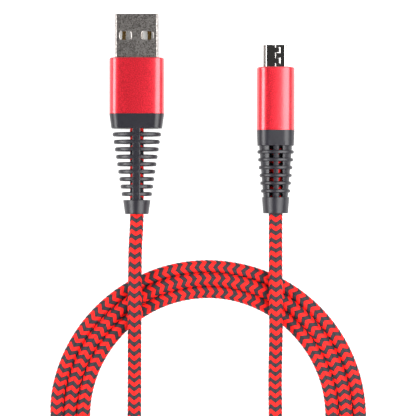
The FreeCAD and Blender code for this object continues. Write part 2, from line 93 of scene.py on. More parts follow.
host_end_low, host_end_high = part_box("cord_end_host")
phone_end_low, phone_end_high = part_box("cord_end_phone")
HOST_EXIT = (host_end_low + host_end_high) / 2
PHONE_EXIT = (phone_end_low + phone_end_high) / 2
HOST_EXIT.y = host_end_low.y
PHONE_EXIT.y = phone_end_low.y

HOST_LEAD = [
    tuple(HOST_EXIT / MM),
    (HOST_EXIT.x / MM - 0.05, -31.0, HOST_EXIT.z / MM),
    (-18.35, -37.0, 5.6),
    (-18.35, -43.4, HUMP),
    (-18.45, -60.6, HUMP),
    (-18.65, -75.5, 2.3),
    (-18.8, -91.0, LYING),
    (-16.9, -102.0, LYING),
    (-9.9, -111.9, LYING),
    (1.1, -117.4, LYING),
    (13.0, -116.9, LYING),
]
PHONE_LEAD = [
    (-34.5, -105.5, 3.7),
    (-27.0, -115.3, 5.7),
    (-13.8, -121.3, CROSSING),
    (0.9, -120.0, CROSSING),
    (13.2, -112.0, 5.95),
    (20.2, -99.0, 2.2),
    (20.35, -85.0, LYING),
    (20.15, -72.5, 2.4),
    (20.3, -59.8, HUMP),
    (20.15, -42.9, HUMP),
    (PHONE_EXIT.x / MM, -34.4, PHONE_EXIT.z / MM),
    tuple(PHONE_EXIT / MM),
]
print("the leads have", len(HOST_LEAD) + len(PHONE_LEAD), "points")

# %% The turns of the coil
COIL_CENTRE = Vector((1.6, -83.7, 0.0))
TURN_RADII = (34.42, 38.17, 41.92)      # inner, middle and outer turn at the coil's sides
SQUEEZE = (0.44, 0.07, -0.3)            # how far each moves at the top of the coil
RIDE_UP = (0.0, 1.3, 0.0)               # how far each is lifted there
POINTS_PER_TURN = 16
FIRST_ANGLE = -54.7
LAST_ANGLE = 900.0
STEP_START = 215.0                      # where a turn starts to step outwards
STEP_LENGTH = 75.0
CLIMB = 1.2                             # the outer turn's end climbs over the first lead
CLIMB_START = 875.0
CLIMB_LENGTH = 60.0


def smooth_step(t):
    """0 before 0, 1 after 1, and a smooth rise between."""
    t = min(max(t, 0.0), 1.0)
    return t * t * (3 - 2 * t)


def turn_values(values, angle):
    """A value of the turns at an angle along the whole coil."""
    value = values[0]
    for turn in range(2):
        share = smooth_step((angle - STEP_START - 360 * turn) / STEP_LENGTH)
        value += share * (values[turn + 1] - values[turn])
    return value


def coil_point(angle):
    """A control point of the coil: outside the turn, because the spline cuts its corners."""
    top = max(0.0, math.sin(math.radians(angle))) ** 2
    radius = turn_values(TURN_RADII, angle) + top * turn_values(SQUEEZE, angle)
    radius /= math.cos(math.pi / POINTS_PER_TURN)
    lift = top * turn_values(RIDE_UP, angle)
    lift += CLIMB * smooth_step((angle - CLIMB_START) / CLIMB_LENGTH)
    x = COIL_CENTRE.x + radius * math.cos(math.radians(angle))
    y = COIL_CENTRE.y + radius * math.sin(math.radians(angle))
    return (x, y, LYING + lift)


COIL_ANGLE = LAST_ANGLE - FIRST_ANGLE
coil_steps = round(COIL_ANGLE / (360 / POINTS_PER_TURN))
COIL = [coil_point(FIRST_ANGLE + COIL_ANGLE * i / coil_steps) for i in range(coil_steps + 1)]
route = [Vector(p) * MM for p in HOST_LEAD + COIL + PHONE_LEAD]
print("the route has", len(route), "control points")


# %% One smooth spline through the route
SPLINE_STEPS = 16                       # points between two control points


def spline_points(points, resolution):
    """Points along the smooth curve that the control points steer."""
    curve = bpy.data.curves.new("route", "CURVE")
    curve.dimensions = "3D"
    curve.resolution_u = resolution
    spline = curve.splines.new("NURBS")
    spline.points.add(len(points) - 1)
    for point, place in zip(spline.points, points):
        point.co = (*place, 1.0)
    spline.order_u = 3
    spline.use_endpoint_u = True
    holder = bpy.data.objects.new("route", curve)
    mesh = bpy.data.meshes.new_from_object(holder)
    found = np.array([v.co for v in mesh.vertices], float)
    bpy.data.objects.remove(holder)
    bpy.data.curves.remove(curve)
    bpy.data.meshes.remove(mesh)
    return found


def lengths_along(points):
    """The distance of each point from the first, along the line."""
    steps = np.linalg.norm(np.diff(points, axis=0), axis=1)
    return np.concatenate([[0.0], np.cumsum(steps)])


free_line = spline_points(route, SPLINE_STEPS)
free_lengths = lengths_along(free_line)
FREE_LENGTH = free_lengths[-1]
print("the cord is", round(FREE_LENGTH / MM), "mm long between the boots")

# %% [markdown]
# The braid is yarn laid over and under in eight columns round the cord. Each yarn shows as a
# slanted float, so neighbouring columns make chevrons. It could be a bump on a plain tube,
# but the outline would stay too smooth. Here the mesh rows follow the chevrons, so each float
# is a small cushion of real faces, and the colour changes exactly where two yarns meet.

# %% The braid's sizes
COLUMNS = 8
FACES_PER_COLUMN = 4
ROWS_PER_PAIR = 8                       # rows of faces for one red and one black yarn
PAIR_LENGTH = 2.59 * MM                 # one red and one black yarn along the cord
CHEVRON_DROP = 1.02 * MM
YARN_DIP = 0.10 * MM                    # the valley between two yarns
COLUMN_DIP = 0.05 * MM                  # the valley where two columns meet
FIRST_TIP = 2.68 * MM                   # from the boot to the first red chevron's tip
INTO_COLLAR = 1.2 * MM                  # the free cord's piece starts inside the boot
AROUND = COLUMNS * FACES_PER_COLUMN
print("the braid has", COLUMNS, "columns and a pair of yarns every", round(PAIR_LENGTH / MM, 2), "mm")

# How far the chevrons have turned from the top of the cord, in degrees, by coil angle.
TWISTS = [(-200, 0), (-55, 0), (0, 6), (90, -53), (180, -39), (360, 8), (450, -47), (540, -31)]
TWISTS += [(720, 0), (810, 0), (900, 0), (1000, -45), (1300, -45)]


# %% The whole line from inside one plug to inside the other
POINTS_INSIDE = 40


def straight_inside(exit_point, end_y):
    """Points inside a plug, from its cord's end to the exit."""
    ys = np.linspace(end_y, exit_point.y, POINTS_INSIDE, endpoint=False)
    return np.array([(exit_point.x, y, exit_point.z) for y in ys])


line = np.vstack([
    straight_inside(HOST_EXIT, host_end_high.y),
    free_line,
    straight_inside(PHONE_EXIT, phone_end_high.y)[::-1],
])
line_lengths = lengths_along(line) - (host_end_high.y - HOST_EXIT.y)
tangents = np.gradient(line, line_lengths, axis=0)
tangents /= np.linalg.norm(tangents, axis=1)[:, None]
to_coil = spline_points(route[:len(HOST_LEAD) + 1], SPLINE_STEPS)
from_coil = spline_points(route[len(HOST_LEAD) + len(COIL) - 1:], SPLINE_STEPS)
coil_start = lengths_along(to_coil)[-1]
coil_end = FREE_LENGTH - lengths_along(from_coil)[-1]
print("the coil holds", round((coil_end - coil_start) / MM), "mm of it")


def along(values, distances):
    """Rows of values read at distances along the line."""
    return np.stack([np.interp(distances, line_lengths, values[:, k]) for k in range(3)], axis=-1)


def twist_at(distances):
    """The chevrons' turn from the top of the cord, in radians."""
    angles = FIRST_ANGLE + (distances - coil_start) / (coil_end - coil_start) * COIL_ANGLE
    stops = np.array(TWISTS, float)
    return np.radians(np.interp(angles, stops[:, 0], stops[:, 1]))


# %% A stretch of braid as a mesh
def braid(name, start, end):
    """The braided tube between two distances along the line."""
    row_length = PAIR_LENGTH / ROWS_PER_PAIR
    first = round((start - FIRST_TIP) / row_length)
    last = round((end - FIRST_TIP) / row_length)
    rows = np.arange(first, last + 1)
    spokes = np.arange(AROUND)
    fold = np.abs((spokes / FACES_PER_COLUMN) % 2 - 1)          # 1 at a chevron's tip
    base = FIRST_TIP + rows * row_length
    distance = base[:, None] + CHEVRON_DROP * (fold - 1)[None, :]
    angle = np.radians(spokes * 360 / AROUND)[None, :] + twist_at(distance)
    across = np.sin(np.pi * (rows % (ROWS_PER_PAIR // 2)) / (ROWS_PER_PAIR // 2))
    beside = np.sin(np.pi * (spokes % FACES_PER_COLUMN) / FACES_PER_COLUMN)
    radius = CORD_RADIUS - YARN_DIP * (1 - across)[:, None] - COLUMN_DIP * (1 - beside)[None, :]
    centre = along(line, distance)
    heading = along(tangents, distance)
    right = np.cross(heading, (0, 0, 1))
    right /= np.linalg.norm(right, axis=-1)[..., None]
    up = np.cross(right, heading)
    outward = np.cos(angle)[..., None] * up + np.sin(angle)[..., None] * right
    places = centre + radius[..., None] * outward
    count = len(rows)
    grid = np.arange(count * AROUND).reshape(count, AROUND)
    following = np.roll(grid, -1, axis=1)
    faces = np.stack([grid[:-1], following[:-1], following[1:], grid[1:]], axis=-1).reshape(-1, 4)
    caps = [grid[0][::-1].tolist(), grid[-1].tolist()]
    mesh = bpy.data.meshes.new(name)
    mesh.from_pydata(places.reshape(-1, 3).tolist(), [], faces.tolist() + caps)
    yarn_map(mesh, rows, count)
    mesh.shade_smooth()
    piece = bpy.data.objects.new(name, mesh)
    bpy.context.scene.collection.objects.link(piece)
    return piece


def yarn_map(mesh, rows, count):
    """A UV map that counts columns round the cord and pairs of yarn along it."""
    layer = mesh.uv_layers.new(name="yarn")
    column = np.arange(AROUND) / FACES_PER_COLUMN
    step = 1 / FACES_PER_COLUMN
    pair = rows / ROWS_PER_PAIR
    low = np.broadcast_to(pair[:-1, None], (count - 1, AROUND))
    high = np.broadcast_to(pair[1:, None], (count - 1, AROUND))
    left = np.broadcast_to(column, (count - 1, AROUND))
    corners = [(left, low), (left + step, low), (left + step, high), (left, high)]
    uv = np.stack([np.stack(corner, axis=-1) for corner in corners], axis=2).reshape(-1)
    values = np.zeros(len(mesh.loops) * 2)
    values[:len(uv)] = uv
    layer.data.foreach_set("uv", values)


free_cord = braid("braided_cord", -INTO_COLLAR, FREE_LENGTH + INTO_COLLAR)
host_cord_end = braid("braid_in_host_boot", -(host_end_high.y - HOST_EXIT.y), -INTO_COLLAR)
phone_cord_end = braid("braid_in_phone_boot", FREE_LENGTH + INTO_COLLAR, line_lengths[-1])
print("the cord has", len(free_cord.data.polygons), "faces")

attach(free_cord, "cord")
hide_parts("cord_lead_host", "cord_coil", "cord_lead_phone")

# %% [markdown]
# A finish is a Principled shader whose colour, roughness and bump vary a little over the
# surface, as they do on every real part. Wiring the nodes by hand for each finish would be
# long, so one small class turns Python expressions into nodes.


# %% Shader maths as Python expressions
class Value:
    """A number that a shader works out. Arithmetic on it adds Math nodes."""

    def __init__(self, finish, socket):
        self.finish = finish
        self.socket = socket

    def maths(self, operation, first, second):
        return self.finish.node("ShaderNodeMath", {"operation": operation}, {0: first, 1: second})

    def __add__(self, other):
        return self.maths("ADD", self, other)

    def __radd__(self, other):
        return self.maths("ADD", other, self)

    def __sub__(self, other):
        return self.maths("SUBTRACT", self, other)

    def __rsub__(self, other):
        return self.maths("SUBTRACT", other, self)

    def __mul__(self, other):
        return self.maths("MULTIPLY", self, other)

    def power(self, other):
        return self.maths("POWER", self, other)

    def below(self, other):
        return self.maths("LESS_THAN", self, other)

    def fraction(self):
        return self.maths("FRACT", self, 0.0)

    def wave(self):
        """A smooth wave from -1 to 1 that repeats each time the value grows by 1."""
        return self.maths("SINE", self * math.tau, 0.0)

    def size(self):
        return self.maths("ABSOLUTE", self, 0.0)


class Finish:
    """A material with one Principled shader. Constants are set on its own sockets."""

    def __init__(self, name, color, **constants):
        self.material = bpy.data.materials.new(name)
        self.material.use_nodes = True
        self.tree = self.material.node_tree
        self.shader = self.tree.nodes["Principled BSDF"]
        self.set("Base Color", (*color, 1.0))
        for label, value in constants.items():
            self.set(label.replace("_", " ").title().replace("Ior", "IOR"), value)

    def set(self, label, value):
        """Sets one of the shader's sockets, or links a worked out value to it."""
        if isinstance(value, Value):
            self.tree.links.new(value.socket, self.shader.inputs[label])
        else:
            self.shader.inputs[label].default_value = value

    def node(self, kind, settings, sockets, output=0):
        """A node with its settings made first, then its sockets' values or links."""
        node = self.tree.nodes.new(kind)
        for label, value in settings.items():
            setattr(node, label, value)
        for key, value in sockets.items():
            if isinstance(value, Value):
                self.tree.links.new(value.socket, node.inputs[key])
            else:
                node.inputs[key].default_value = value
        return Value(self, node.outputs[output])

    def place(self):
        """The point on the object, in metres."""
        return self.node("ShaderNodeTexCoord", {}, {}, "Object")

    def noise(self, scale, detail=2.0, place=None):
        """Soft noise from 0 to 1. The scale counts blotches in a metre."""
        sockets = {"Vector": place or self.place(), "Scale": scale, "Detail": detail}
        return self.node("ShaderNodeTexNoise", {}, sockets, "Fac")

    def mix(self, share, first, second):
        """A colour between two colours."""
        colours = [c if isinstance(c, Value) else (*c, 1.0) for c in (first, second)]
        sockets = {0: share, 6: colours[0], 7: colours[1]}
        return self.node("ShaderNodeMix", {"data_type": "RGBA"}, sockets, 2)

    def bump(self, height, strength, distance):
        """Fine relief from a height."""
        sockets = {"Height": height, "Strength": strength, "Distance": distance}
        self.set("Normal", self.node("ShaderNodeBump", {}, sockets, "Normal"))

    def paint(self, *pieces):
        """Puts this finish on pieces, and on CAD nodes through their object's slots."""
        for piece in pieces:
            if not piece.material_slots:
                piece.data.materials.append(self.material)
            for slot in piece.material_slots:
                slot.link = "OBJECT"
                slot.material = self.material


print("the shader helpers are ready")

# %% [markdown]
# Braid yarn is many straight filaments side by side, dull along them. Painted shade darkens it
# where one yarn dips under the next. The map counts yarns, so the finish knows where it is on a
# float: half of each pair is red and half black, and painted shade darkens both in the valleys.

# %% Braid finish
RED_YARN = (0.95, 0.012, 0.008)
# the two darker colours are painted shade, mixed in where one yarn dips under the next
RED_PAINTED_SHADE = (0.40, 0.003, 0.004)
BLACK_YARN = (0.026, 0.026, 0.032)
BLACK_PAINTED_SHADE = (0.003, 0.003, 0.004)
FILAMENTS = 5                           # in one yarn
STRAY = 0.06                            # how far a yarn's edge wanders, in pairs

braid_finish = Finish("braid_yarn", RED_YARN, specular_ior_level=0.22)
yarn_place = braid_finish.node("ShaderNodeUVMap", {"uv_map": "yarn"}, {})
column = braid_finish.node("ShaderNodeSeparateXYZ", {}, {0: yarn_place})
pair = Value(braid_finish, column.socket.node.outputs[1])
stray = (braid_finish.noise(2200, 3.0) - 0.5) * STRAY
across_yarn = ((pair + stray) * 2).fraction()
along_float = column.fraction()
is_red = (pair + stray).fraction().below(0.5)
from_middle = ((across_yarn - 0.5) * 2).size()
from_float_middle = ((along_float - 0.5) * 2).size()
# painted shade: darker at each yarn's edges and at each float's ends, where the yarns dip
painted_shade_and_fleck = from_middle.power(5.0) * 0.75 + from_float_middle.power(4.0) * 0.45
filament = (across_yarn * FILAMENTS + stray * 8).wave() * 0.5 + 0.5
fleck = braid_finish.noise(5200, 2.0)
# random flecks and the filament lines are the yarn's own tone, added to the painted shade
painted_shade_and_fleck = painted_shade_and_fleck + (1 - filament) * 0.2 + (fleck - 0.5) * 0.9
red = braid_finish.mix(painted_shade_and_fleck, RED_YARN, RED_PAINTED_SHADE)
black = braid_finish.mix(painted_shade_and_fleck, BLACK_YARN, BLACK_PAINTED_SHADE)
braid_finish.set("Base Color", braid_finish.mix(is_red, black, red))
braid_finish.set("Roughness", 0.55 + fleck * 0.2)
braid_finish.bump(filament * 0.6 + fleck * 0.6, 0.55, 0.00006)
braid_finish.paint(free_cord, host_cord_end, phone_cord_end)
print("the braid has its finish")

# %% [markdown]
# The sleeves are aluminium that was blasted to a fine satin and dyed red. The dye colours the
# metal's own shine, and the sealed surface adds a soft clear shine over it. The rubber is
# moulded in a lightly textured tool. The wide shell is nickel plate on blasted steel, with a
# fine dark and light grain. The small shell is smoother, and mirrors more of the room.

# %% Satin red aluminium
RED_DYE = (0.78, 0.016, 0.04)
RED_DARK = (0.45, 0.0038, 0.013)
RED_LIGHT = (0.76, 0.010, 0.03)

red_metal = Finish("red_anodised_aluminium", RED_DYE, metallic=0.85, coat_roughness=0.24, coat_ior=1.75)
grain = red_metal.noise(3600, 2.0)
patch = red_metal.noise(160, 2.0)
red_share = (grain - 0.35) * 3.0 + patch * 0.1      # stretches the noise's middle from 0 to 1
red_metal.set("Base Color", red_metal.mix(red_share, RED_DARK, RED_LIGHT))
red_metal.set("Roughness", 0.4 + grain * 0.08)
red_metal.set("Coat Weight", 0.85 + patch * 0.15)
red_metal.bump(grain, 0.5, 0.00005)
print("red aluminium from", RED_DARK, "to", RED_LIGHT)

# %% Moulded rubber
RUBBER = (0.02, 0.02, 0.025)
RUBBER_DARK = (0.006, 0.006, 0.009)
RUBBER_LIGHT = (0.013, 0.012, 0.018)

rubber = Finish("moulded_rubber", RUBBER, specular_ior_level=0.5)
pores = rubber.noise(3600, 3.0)
dust = rubber.noise(420, 3.0)
rubber.set("Base Color", rubber.mix(dust * 0.8 + pores * 0.2, RUBBER_DARK, RUBBER_LIGHT))
rubber.set("Roughness", 0.24 + pores * 0.2)
rubber.bump(pores, 0.6, 0.00007)
print("rubber from", RUBBER_DARK, "to", RUBBER_LIGHT)

# %% Nickel plate
NICKEL = (0.62, 0.59, 0.56)
NICKEL_DARK = (0.165, 0.152, 0.143)
NICKEL_LIGHT = (0.47, 0.44, 0.42)

nickel = Finish("nickel_plate", NICKEL, metallic=1.0)
glitter = nickel.noise(3000, 2.0)
wear = nickel.noise(300, 3.0)
nickel_share = (glitter - 0.37) * 3.6 + wear * 0.1
nickel.set("Base Color", nickel.mix(nickel_share, NICKEL_DARK, NICKEL_LIGHT))
nickel.set("Roughness", 0.29 + glitter * 0.08)
nickel.bump(glitter, 0.5, 0.00005)
print("nickel plate from", NICKEL_DARK, "to", NICKEL_LIGHT)

# %% Bright nickel for the small shell
BRIGHT_DARK = (0.56, 0.54, 0.53)
BRIGHT_LIGHT = (0.70, 0.68, 0.66)

bright_nickel = Finish("bright_nickel", (0.62, 0.59, 0.57), metallic=1.0)
haze = bright_nickel.noise(2600, 3.0)
bright_nickel.set("Base Color", bright_nickel.mix(haze, BRIGHT_DARK, BRIGHT_LIGHT))
bright_nickel.set("Roughness", 0.06 + haze * 0.04)
bright_nickel.bump(haze, 0.08, 0.00002)
print("bright nickel from", BRIGHT_DARK, "to", BRIGHT_LIGHT)


# %% The small pieces' finishes
def plain_finish(name, color, darker, scale, depth, **constants):
    """A moulded, drawn or plated finish with slight mottling and fine relief."""
    finish = Finish(name, color, **constants)
    mottle = finish.noise(scale, 3.0)
    finish.set("Base Color", finish.mix(mottle, color, [c * darker for c in color]))
    finish.bump(mottle, 0.3, depth)
    return finish


white_plastic = plain_finish("white_plastic", (0.86, 0.86, 0.84), 0.85, 900, 0.00003, roughness=0.45)
black_plastic = plain_finish("black_plastic", (0.018, 0.018, 0.02), 0.6, 900, 0.00003, roughness=0.4)
liner_plastic = plain_finish("liner_plastic", (0.03, 0.03, 0.033), 0.6, 700, 0.00004, roughness=0.5)
gold_plate = plain_finish("gold_plate", (0.86, 0.55, 0.20), 0.8, 1500, 0.00002,
                          metallic=1.0, roughness=0.25)
spring_steel = plain_finish("spring_steel", (0.62, 0.61, 0.60), 0.8, 1800, 0.00003,
                            metallic=1.0, roughness=0.3)
tin = plain_finish("tin_solder", (0.72, 0.72, 0.73), 0.8, 1200, 0.00004, metallic=1.0, roughness=0.35)
WIRE_COLOURS = {
    "red": (0.62, 0.02, 0.02),
    "white": (0.8, 0.8, 0.78),
    "green": (0.02, 0.32, 0.08),
    "black": (0.015, 0.015, 0.017),
}
for plug in ("host", "phone"):
    for colour, value in WIRE_COLOURS.items():
        name = plug + "_insulation_" + colour
        insulation = plain_finish(name, value, 0.8, 1500, 0.00002, roughness=0.35)
        insulation.paint(nodes[plug + "_wire_" + colour])
    spring_steel.paint(nodes[plug + "_crimp"])
    tin.paint(nodes[plug + "_solder"])
    liner_plastic.paint(nodes[plug + "_inner_mould"])
white_plastic.paint(nodes["host_insulator"])
black_plastic.paint(nodes["phone_insulator"])
gold_plate.paint(*[piece for name, piece in nodes.items() if "_contact_" in name])
spring_steel.paint(nodes["phone_latch_left"], nodes["phone_latch_right"])
print("the inner pieces have their finishes")

# %% [markdown]
# The pieces that show are modelled again from primitives. A cube or a cylinder is put at the
# piece's place, its edges are rounded in edit mode, and pieces that are one moulding are
# joined with a Boolean. A sculpted mesh would also do, but a moulding has exact widths.


# %% Working on one piece at a time
SAME_PLACE = 1e-6                       # two values of x or y this close are one place


def pick_out(piece):
    """Only this piece is selected and active."""
    bpy.ops.object.select_all(action="DESELECT")
    piece.select_set(True)
    bpy.context.view_layer.objects.active = piece


def settle(piece, name):
    """The new primitive's size and place go into its mesh."""
    piece.name = name
    piece.data.name = name
    pick_out(piece)
    bpy.ops.object.transform_apply(location=True, rotation=True, scale=True)
    return piece


def cube(name, low, high):
    """A box between two corners, in metres."""
    bpy.ops.object.select_all(action="DESELECT")
    bpy.ops.mesh.primitive_cube_add(size=1, location=(Vector(low) + Vector(high)) / 2)
    piece = bpy.context.object
    piece.scale = Vector(high) - Vector(low)
    return settle(piece, name)


def drum(name, centre, y_start, y_end, width, height, vertices=64):
    """An upright elliptical drum along Y."""
    bpy.ops.object.select_all(action="DESELECT")
    middle = Vector((centre.x, (y_start + y_end) / 2, centre.z))
    bpy.ops.mesh.primitive_cylinder_add(
        vertices=vertices, radius=0.5, depth=y_end - y_start,
        location=middle, rotation=(math.pi / 2, 0, 0))
    piece = bpy.context.object
    piece.scale = (width, height, 1)
    return settle(piece, name)


def edit(piece, kind, test, operator, **settings):
    """Selects edges, faces or vertices by a test on them, and runs one edit-mode operator."""
    pick_out(piece)
    bpy.ops.object.mode_set(mode="EDIT")
    bpy.ops.mesh.select_mode(type={"edges": "EDGE", "faces": "FACE", "verts": "VERT"}[kind])
    bpy.ops.mesh.select_all(action="DESELECT")
    mesh = bmesh.from_edit_mesh(piece.data)
    for element in getattr(mesh, kind):
        element.select = bool(test(element))
    mesh.select_flush_mode()
    bmesh.update_edit_mesh(piece.data)
    operator(**settings)
    bpy.ops.object.mode_set(mode="OBJECT")
    return piece


def middle_of(element):
    """The middle of an edge or a face."""
    return sum((v.co for v in element.verts), Vector()) / len(element.verts)


def runs_along_y(edge):
    """True for an edge that runs mostly along Y."""
    span = edge.verts[1].co - edge.verts[0].co
    return abs(span.y) > 0.9 * span.length


def at_y(level):
    """A test for an element that lies at one value of y."""
    return lambda element: all(abs(v.co.y - level) < SAME_PLACE for v in element.verts)


def faces_y(level):
    """A test for an end face at one value of y."""
    return lambda face: abs(face.normal.y) > 0.99 and abs(middle_of(face).y - level) < SAME_PLACE


def apply(piece, kind, **settings):
    """Adds a modifier, sets it and applies it."""
    modifier = piece.modifiers.new(kind.lower(), kind)
    for label, value in settings.items():
        setattr(modifier, label, value)
    pick_out(piece)
    bpy.ops.object.modifier_apply(modifier=modifier.name)
    return piece


def cut(piece, *cutters):
    """Takes the cutters out of the piece."""
    for cutter in cutters:
        apply(piece, "BOOLEAN", operation="DIFFERENCE", solver="EXACT", object=cutter)
        bpy.data.objects.remove(cutter)
    return piece


def weld(piece, *others):
    """Joins pieces of one moulding."""
    for other in others:
        apply(piece, "BOOLEAN", operation="UNION", solver="EXACT", object=other)
        bpy.data.objects.remove(other)
    return piece


def finish_piece(piece, body, node, finish, smooth_degrees=35):
    """Shades a piece, puts it on its body and gives it its finish."""
    apply(piece, "TRIANGULATE")
    pick_out(piece)
    bpy.ops.object.shade_smooth_by_angle(angle=math.radians(smooth_degrees))
    apply(piece, "WEIGHTED_NORMAL", keep_sharp=True, weight=80)
    finish.paint(piece)
    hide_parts(node)
    if body:
        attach(piece, body)
    print(piece.name, "has", len(piece.data.polygons), "faces")
    return piece


def open_ends(piece):
    """Takes the two end faces off a box, which leaves a square tube along Y."""
    return edit(piece, "faces", lambda face: abs(face.normal.y) > 0.9,
                bpy.ops.mesh.delete, type="ONLY_FACE")


print("the modelling helpers are ready")


# %% [markdown]
# Each sleeve is a short length of drawn tube, turned true at both ends. A cube loses its two
# end faces. Its wide sides are raised along the middle and bevelled round, because a drawn
# tube is never quite flat, and its long edges are rounded. Solidify gives it its wall. The
# front rim is broken with a wider rounding than the back one, which meets the boot.

# %% The two sleeves
SLEEVE_WALL = 0.7 * MM
FRONT_RIM = 0.42 * MM
BACK_RIM = 0.1 * MM
CROWN_SLOPE = 0.09                      # how steep the wide sides are by the corners
CROWN_MARGIN = 0.1 * MM                 # left between the crown's bevel and the corner's
HOST_CORNER = (3.2 * MM, 0.62)          # how far a corner reaches, and how full it is
PHONE_CORNER = (3.3 * MM, 0.55)


def outer_rim(level, centre):
    """A test for the edges of a tube's outer outline at one end."""
    def faces_out(face):
        return abs(face.normal.y) < 0.5 and face.normal.dot(middle_of(face) - centre) > 0
    return lambda edge: at_y(level)(edge) and any(faces_out(face) for face in edge.link_faces)


def runs_along_x(edge):
    """True for an edge that runs across the sleeve."""
    span = edge.verts[1].co - edge.verts[0].co
    return abs(span.x) > 0.9 * span.length


def sleeve(name, node, body, corner):
    """A drawn tube between the corners of its node, with its wide sides slightly crowned."""
    reach, fullness = corner
    low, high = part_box(node)
    centre = (low + high) / 2
    half_width = (high.x - low.x) / 2
    half_height = (high.z - low.z) / 2
    crown_reach = half_width - reach - CROWN_MARGIN
    ridge = half_width * CROWN_SLOPE
    crown = ridge - crown_reach * CROWN_SLOPE / 2
    edge_height = half_height - crown
    inset = Vector((0, 0, crown))

    def on_ridge(edge):
        return runs_along_y(edge) and abs(middle_of(edge).x - centre.x) < SAME_PLACE

    def on_corner(edge):
        return runs_along_y(edge) and abs(middle_of(edge).x - centre.x) > half_width - SAME_PLACE

    piece = cube(name, low + inset, high - inset)
    open_ends(piece)
    edit(piece, "edges", runs_along_x, bpy.ops.mesh.subdivide, number_cuts=1)
    edit(piece, "verts", lambda v: abs(v.co.x - centre.x) < SAME_PLACE,
         bpy.ops.transform.resize, value=(1, 1, (edge_height + ridge) / edge_height))
    edit(piece, "edges", on_ridge, bpy.ops.mesh.bevel, offset=crown_reach, segments=10)
    edit(piece, "edges", on_corner, bpy.ops.mesh.bevel, offset=reach, segments=18, profile=fullness)
    apply(piece, "SOLIDIFY", thickness=SLEEVE_WALL, offset=-1)
    print(name, "is crowned by", round(crown / MM, 2), "mm")
    edit(piece, "edges", outer_rim(high.y, centre), bpy.ops.mesh.bevel, offset=FRONT_RIM, segments=5)
    edit(piece, "edges", outer_rim(low.y, centre), bpy.ops.mesh.bevel, offset=BACK_RIM, segments=2)
    return finish_piece(piece, body, node, red_metal)


sleeve("host_sleeve_tube", "host_sleeve", "host_plug", HOST_CORNER)
phone_sleeve = sleeve("phone_sleeve_tube", "phone_sleeve", "phone_plug", PHONE_CORNER)

# %% [markdown]
# The wide plug's shell is folded from sheet steel. Its two windows have drawn-in rims that
# catch the light. The small plug's shell closes along a seam with two square tabs, so the
# sheet can't spread. Both are tubes with cut-outs, and a narrow Bevel on every sharp edge
# makes the bright lines.

# %% The wide shell
SHELL_WALL = 0.3 * MM
SHELL_CORNER = 0.65 * MM
WINDOW_SIZE = (3.15 * MM, 2.3 * MM)
WINDOW_X = 3.02 * MM
WINDOW_BACK = 5.98 * MM
WINDOW_CORNER = 0.72 * MM
SHELL_EDGE = 0.16 * MM
SHARP_ANGLE = math.radians(50)          # an edge that turns more than this is bevelled
SHELL_SMOOTHING = 20                    # degrees that still shade smoothly on a shell

shell_low, shell_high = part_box("host_shell")
shell_middle = (shell_low + shell_high) / 2
host_shell = cube("host_shell_sheet", shell_low, shell_high)
open_ends(host_shell)
edit(host_shell, "edges", runs_along_y, bpy.ops.mesh.bevel, offset=SHELL_CORNER, segments=8)
apply(host_shell, "SOLIDIFY", thickness=SHELL_WALL, offset=-1)
for side in (-1, 1):
    window_x = shell_middle.x + side * WINDOW_X
    window_y = shell_high.y - WINDOW_BACK
    half_w, half_l = WINDOW_SIZE[0] / 2, WINDOW_SIZE[1] / 2
    cutter = cube("window", (window_x - half_w, window_y - half_l, shell_low.z - MM),
                  (window_x + half_w, window_y + half_l, shell_high.z + MM))
    edit(cutter, "edges", lambda e: abs(e.verts[0].co.z - e.verts[1].co.z) > MM,
         bpy.ops.mesh.bevel, offset=WINDOW_CORNER, segments=6)
    cut(host_shell, cutter)
apply(host_shell, "BEVEL", width=SHELL_EDGE, segments=2, limit_method="ANGLE", angle_limit=SHARP_ANGLE)
finish_piece(host_shell, "host_plug", "host_shell", nickel, SHELL_SMOOTHING)

# %% The small shell
SMALL_WALL = 0.25 * MM
SLANT = 0.86 * MM                       # the two bevels of the narrow face
FOLD = 0.16 * MM
SEAM = 0.08 * MM
TAB_WIDTH = 1.1 * MM
TAB_LENGTH = 1.64 * MM
TAB_STARTS = (0.65 * MM, 3.6 * MM)
HOOK_WINDOW = (0.8 * MM, 1.5 * MM)
HOOK_X = 2.2 * MM
HOOK_BACK = 1.55 * MM
SMALL_EDGE = 0.11 * MM

small_low, small_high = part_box("phone_shell")
small_middle = (small_low + small_high) / 2
phone_shell = cube("phone_shell_sheet", small_low, small_high)
open_ends(phone_shell)
edit(phone_shell, "edges", lambda e: runs_along_y(e) and e.verts[0].co.z > small_middle.z,
     bpy.ops.mesh.bevel, offset=SLANT, segments=1)
edit(phone_shell, "edges", runs_along_y, bpy.ops.mesh.bevel, offset=FOLD, segments=4)
apply(phone_shell, "SOLIDIFY", thickness=SMALL_WALL, offset=-1)


def seam_slot(x_a, y_a, x_b, y_b):
    """A cutter for one straight stretch of the seam."""
    half = SEAM / 2
    low = (min(x_a, x_b) - half, min(y_a, y_b) - half, small_high.z - 2 * SMALL_WALL)
    high = (max(x_a, x_b) + half, max(y_a, y_b) + half, small_high.z + MM)
    return cube("seam", low, high)


